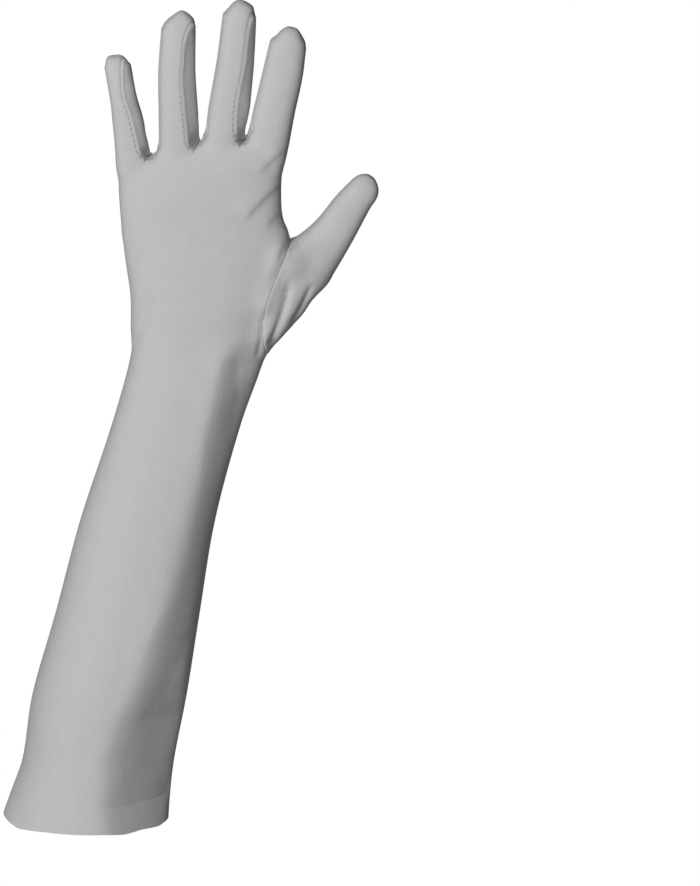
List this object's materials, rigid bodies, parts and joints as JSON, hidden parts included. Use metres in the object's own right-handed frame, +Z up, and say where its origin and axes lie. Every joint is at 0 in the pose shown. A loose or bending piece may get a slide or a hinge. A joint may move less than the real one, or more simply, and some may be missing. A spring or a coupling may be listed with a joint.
{
  "type": "elbow-length costume glove",
  "caption": "Elbow-length stretch-knit costume glove for a left hand, with separate thumb, side pieces between the fingers and a doubled hem, in the shape it keeps when worn",
  "frame": {"origin": "centre of the cuff opening, on the plane of the hem's edge, where the arm goes in", "axes": "+Z up from the hem to the fingertips, +X towards the thumb side, +Y towards the palm, so the back of the hand faces -Y; the sleeve leans towards +X as in the picture"},
  "size_m": [0.1898, 0.0758, 0.4183],
  "materials": {
    "knit": "matte fine stretch knit",
    "hem_knit": "matte fine stretch knit, doubled"
  },
  "bodies": {
    "root": {"back_panel": "knit", "palm_panel": "knit", "thumb": "knit", "fourchette_little_ring": "knit", "fourchette_ring_middle": "knit", "fourchette_middle_index": "knit", "cuff_hem": "hem_knit"}
  },
  "joints": []
}
